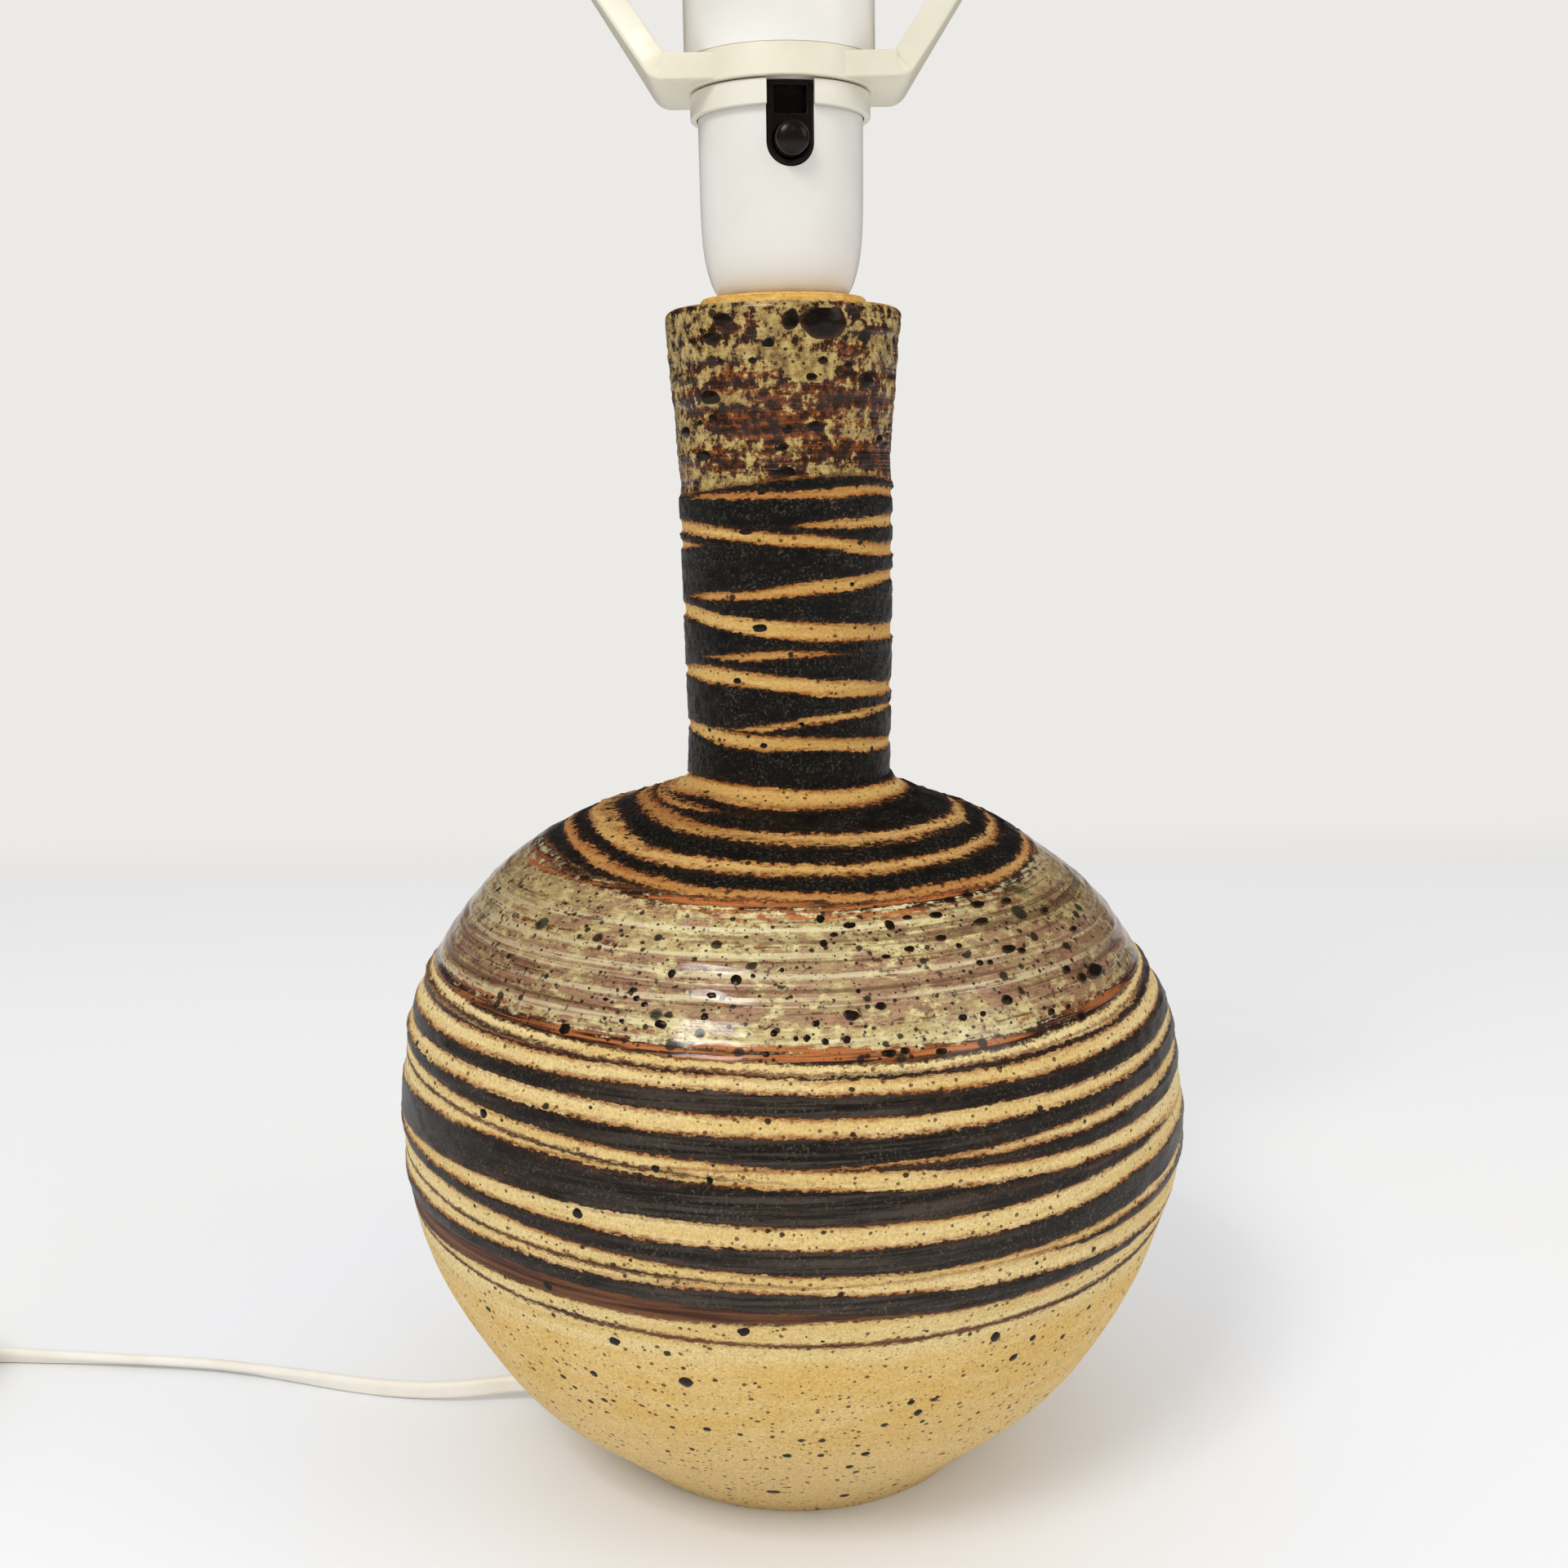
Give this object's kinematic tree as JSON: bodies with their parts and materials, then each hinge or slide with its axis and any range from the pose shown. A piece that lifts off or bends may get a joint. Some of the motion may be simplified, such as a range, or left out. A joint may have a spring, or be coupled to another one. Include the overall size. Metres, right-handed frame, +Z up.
{
  "type": "table lamp base",
  "caption": "Round thrown stoneware table lamp base with striped slip bands, a long neck, a white lamp holder with a push-through switch, a shade carrier and a coiled flex with plug.",
  "frame": {"origin": "centre of the foot, on the table", "axes": "+Z up along the turned body's axis; the push switch faces -Y, turned 6.5 degrees towards +X; the flex leaves towards -X"},
  "size_m": [0.4356, 0.1958, 0.38],
  "materials": {
    "stoneware": "matt slip and glossy glaze bands on ochre clay",
    "white_plastic": "glossy moulded",
    "ivory_plastic": "satin moulded",
    "black_plastic": "glossy moulded",
    "porcelain": "fired, unglazed",
    "brass": "drawn",
    "steel": "zinc plated",
    "nickel": "nickel plated",
    "flex_plastic": "extruded, satin",
    "core_plastic": "extruded"
  },
  "bodies": {
    "base": {"ceramic_body": "stoneware", "cord_grommet": "white_plastic", "threaded_nipple": "steel", "nipple_washer": "steel", "nipple_locknut": "steel", "holder_cap": "white_plastic", "nipple_lock_screw": "steel", "holder_shell": "white_plastic", "switch_housing": "black_plastic", "terminal_block_left": "brass", "terminal_block_right": "brass", "terminal_screw_left": "steel", "terminal_screw_right": "steel", "socket_base": "porcelain", "contact_rivet_left": "brass", "contact_rivet_right": "brass", "contact_strap_left": "brass", "contact_strap_right": "brass", "screw_shell": "brass", "cord_grip_front": "white_plastic", "cord_grip_rear": "white_plastic", "cord_grip_screw_left": "steel", "cord_grip_screw_right": "steel", "inner_cord": "flex_plastic", "core_wire_left": "core_plastic", "core_wire_right": "core_plastic", "cord": "flex_plastic", "cord_coil": "flex_plastic", "cord_tail": "flex_plastic", "coil_tie": "black_plastic", "plug_relief": "flex_plastic", "plug_body": "flex_plastic", "plug_pin_left": "nickel", "plug_pin_right": "nickel"},
    "switch_bar": {"push_bar": "black_plastic", "bridge_contact": "brass"},
    "carrier": {"shade_carrier": "ivory_plastic"},
    "sleeve": {"clamp_sleeve": "white_plastic"},
    "lamp_contact": {"centre_contact": "brass"}
  },
  "joints": [
    {"name": "switch_push", "type": "slide", "parent": "base", "child": "switch_bar", "axis": [-0.1132, 0.9936, 0], "range_m": [0, 0.0056]},
    {"name": "carrier_turn", "type": "hinge", "parent": "base", "child": "carrier", "pos_m": [0, 0, 0.337], "axis": [0, 0, 1], "continuous": true},
    {"name": "sleeve_rise", "type": "slide", "parent": "base", "child": "sleeve", "axis": [0, 0, 1], "range_m": [0, 0.009]},
    {"name": "contact_press", "type": "hinge", "parent": "base", "child": "lamp_contact", "pos_m": [-0.00894, -0.00102, 0.3415], "axis": [-0.1132, 0.9936, 0], "range_deg": [0, 6], "stiffness_Nm_per_rad": 0.1}
  ]
}
